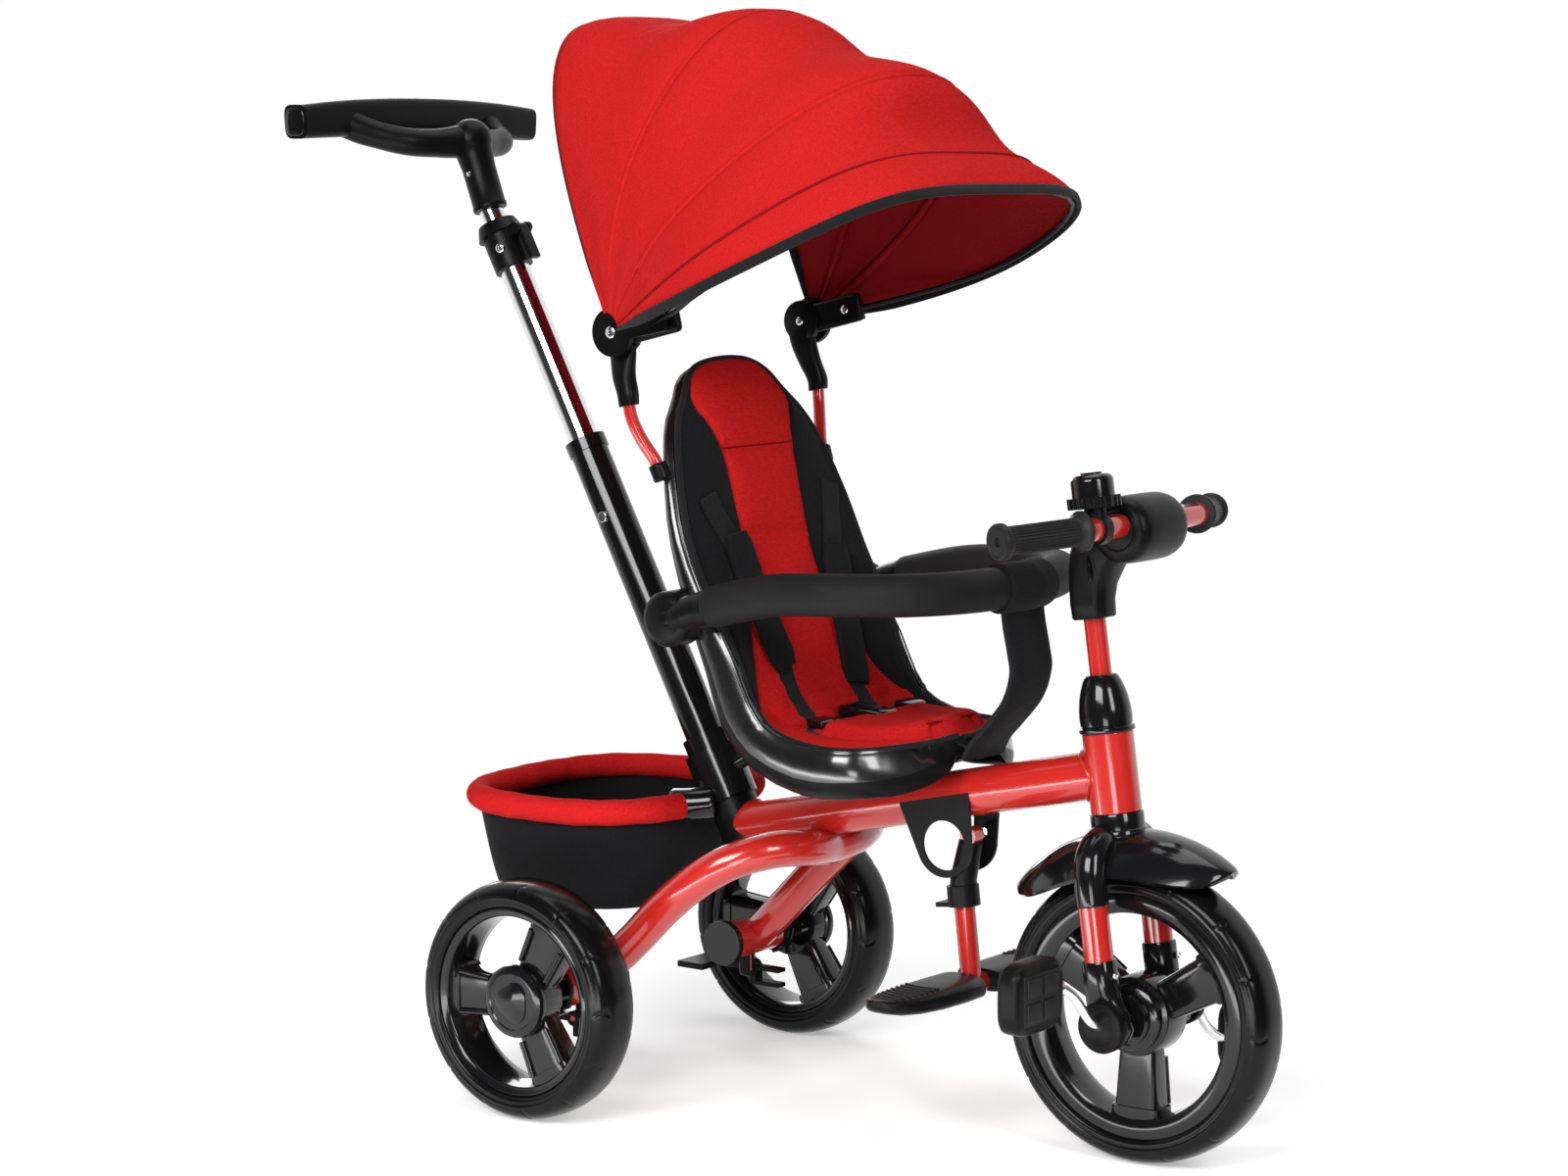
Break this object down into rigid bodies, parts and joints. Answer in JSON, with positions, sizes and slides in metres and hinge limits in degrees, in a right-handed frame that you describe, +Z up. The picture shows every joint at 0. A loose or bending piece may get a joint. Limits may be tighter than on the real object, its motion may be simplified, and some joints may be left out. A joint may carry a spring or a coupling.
{
  "type": "push-along tricycle",
  "caption": "Toddler push-along tricycle with a telescopic parent push bar, folding canopy, padded guard rail, rear basket, folding footrest and pedalled front wheel.",
  "frame": {"origin": "on the ground, under the middle of the overall box", "axes": "+X forward, +Y to the rider's left, +Z up"},
  "size_m": [0.9396, 0.444, 0.9576],
  "materials": {
    "red_paint": "gloss",
    "black_metal": "gloss",
    "chrome": "polished",
    "steel": "satin",
    "gloss_black": "gloss",
    "matte_black": "matte",
    "tyre_rubber": "matte",
    "grip_rubber": "matte",
    "foam": "matte foam",
    "red_fabric": "woven",
    "black_fabric": "woven"
  },
  "bodies": {
    "frame": {"main_tube": "red_paint", "head_tube": "red_paint", "push_socket": "red_paint", "rear_fork": "red_paint", "axle_housings": "red_paint", "rear_axles": "black_metal", "socket_cover": "gloss_black", "lower_push_tube": "black_metal", "middle_push_tube": "chrome", "clamp_collar": "matte_black", "basket_rim": "red_fabric", "basket_bag": "black_fabric", "seat_shell": "gloss_black", "seat_saddle": "matte_black", "bolts": "steel", "seat_pad": "red_fabric", "harness_pads": "black_fabric", "harness_webbing": "black_fabric", "rail_hubs": "gloss_black", "canopy_arms": "red_paint", "canopy_posts": "matte_black", "head_bushes": "matte_black", "footrest_bracket": "black_metal", "canopy_bow_rear": "steel", "canopy_fabric": "red_fabric"},
    "steering": {"steerer": "red_paint", "stem_cap": "gloss_black", "fork_crown": "gloss_black", "fork_legs": "red_paint", "fork_shoes": "gloss_black", "fender": "gloss_black", "handlebar": "red_paint", "stem_shroud": "matte_black", "grips": "grip_rubber", "bell_clamp": "matte_black"},
    "bell": {"bell_dome": "gloss_black"},
    "front_wheel": {"front_tyre": "tyre_rubber", "front_rim": "gloss_black"},
    "crank": {"crank": "black_metal"},
    "pedal_left": {"pedal_left": "matte_black"},
    "pedal_right": {"pedal_right": "matte_black"},
    "rear_wheel_left": {"rear_tyre_left": "tyre_rubber", "rear_rim_left": "gloss_black"},
    "rear_wheel_right": {"rear_tyre_right": "tyre_rubber", "rear_rim_right": "gloss_black"},
    "push_handle": {"upper_push_tube": "chrome", "push_handle": "matte_black"},
    "clamp_lever": {"clamp_lever": "matte_black"},
    "push_button": {"push_button": "steel"},
    "guardrail": {"rail_tube": "matte_black", "rail_foam": "foam", "crotch_pad": "black_fabric"},
    "bow_second": {"canopy_bow_second": "steel"},
    "bow_third": {"canopy_bow_third": "steel"},
    "bow_front": {"canopy_bow_front": "steel"},
    "footrest": {"footrest_tube": "red_paint", "foot_plates": "matte_black"},
    "footrest_collar": {"footrest_collar": "matte_black"},
    "brake_left": {"brake_left": "matte_black"},
    "brake_right": {"brake_right": "matte_black"}
  },
  "joints": [
    {"name": "steering_turn", "type": "hinge", "parent": "frame", "child": "steering", "pos_m": [0.34167, 0, 0.12454], "axis": [-0.1444, 0, 0.9895], "range_deg": [-35, 35]},
    {"name": "bell_twist", "type": "hinge", "parent": "steering", "child": "bell", "pos_m": [0.33947, -0.072, 0.53451], "axis": [-0.1444, 0, 0.9895], "range_deg": [-30, 30], "stiffness_Nm_per_rad": 0.05},
    {"name": "front_wheel_spin", "type": "hinge", "parent": "steering", "child": "front_wheel", "pos_m": [0.34484, 0, 0.125], "axis": [0, 1, 0], "continuous": true},
    {"name": "crank_spin", "type": "hinge", "parent": "steering", "child": "crank", "pos_m": [0.34484, 0, 0.125], "axis": [0, 1, 0], "continuous": true},
    {"name": "pedal_left_spin", "type": "hinge", "parent": "crank", "child": "pedal_left", "pos_m": [0.35654, 0.156, 0.0831], "axis": [0, 1, 0], "continuous": true},
    {"name": "pedal_right_spin", "type": "hinge", "parent": "crank", "child": "pedal_right", "pos_m": [0.33314, -0.156, 0.1669], "axis": [0, 1, 0], "continuous": true},
    {"name": "rear_wheel_left_spin", "type": "hinge", "parent": "frame", "child": "rear_wheel_left", "pos_m": [-0.15716, 0.197, 0.105], "axis": [0, 1, 0], "continuous": true},
    {"name": "rear_wheel_right_spin", "type": "hinge", "parent": "frame", "child": "rear_wheel_right", "pos_m": [-0.15716, -0.197, 0.105], "axis": [0, 1, 0], "continuous": true},
    {"name": "brake_left_press", "type": "hinge", "parent": "frame", "child": "brake_left", "pos_m": [-0.15716, 0.13, 0.075], "axis": [0, -1, 0], "range_deg": [0, 15]},
    {"name": "brake_right_press", "type": "hinge", "parent": "frame", "child": "brake_right", "pos_m": [-0.15716, -0.13, 0.075], "axis": [0, -1, 0], "range_deg": [0, 15]},
    {"name": "push_handle_slide", "type": "slide", "parent": "frame", "child": "push_handle", "axis": [-0.4695, 0, 0.8829], "range_m": [-0.012, 0.12]},
    {"name": "clamp_lever_flip", "type": "hinge", "parent": "frame", "child": "clamp_lever", "pos_m": [-0.3254, 0, 0.76794], "axis": [0, -1, 0], "range_deg": [0, 90]},
    {"name": "push_button_press", "type": "slide", "parent": "frame", "child": "push_button", "axis": [0, 1, 0], "range_m": [0, 0.0025], "stiffness_N_per_m": 600},
    {"name": "guardrail_lift", "type": "hinge", "parent": "frame", "child": "guardrail", "pos_m": [-0.04016, 0, 0.441], "axis": [0, -1, 0], "range_deg": [0, 60]},
    {"name": "canopy_fold", "type": "hinge", "parent": "frame", "child": "bow_second", "pos_m": [-0.10046, 0, 0.683], "axis": [0, -1, 0], "range_deg": [0, 26], "deforming": ["canopy_fabric"]},
    {"name": "canopy_fold_third", "type": "hinge", "parent": "bow_second", "child": "bow_third", "pos_m": [-0.10046, 0, 0.683], "axis": [0, -1, 0], "range_deg": [0, 23.4], "deforming": ["canopy_fabric"]},
    {"name": "canopy_fold_front", "type": "hinge", "parent": "bow_third", "child": "bow_front", "pos_m": [-0.10046, 0, 0.683], "axis": [0, -1, 0], "range_deg": [0, 18.2], "deforming": ["canopy_fabric"]},
    {"name": "footrest_fold", "type": "hinge", "parent": "frame", "child": "footrest", "pos_m": [0.17384, 0, 0.256], "axis": [0, 1, 0], "range_deg": [0, 45]},
    {"name": "footrest_collar_lift", "type": "slide", "parent": "footrest", "child": "footrest_collar", "axis": [-0.1168, 0, 0.9932], "range_m": [0, 0.008]}
  ],
  "couplings": [
    {"joint": "crank_spin", "follows": "front_wheel_spin", "ratio": 1},
    {"joint": "canopy_fold_third", "follows": "canopy_fold", "ratio": 0.9},
    {"joint": "canopy_fold_front", "follows": "canopy_fold", "ratio": 0.7}
  ]
}
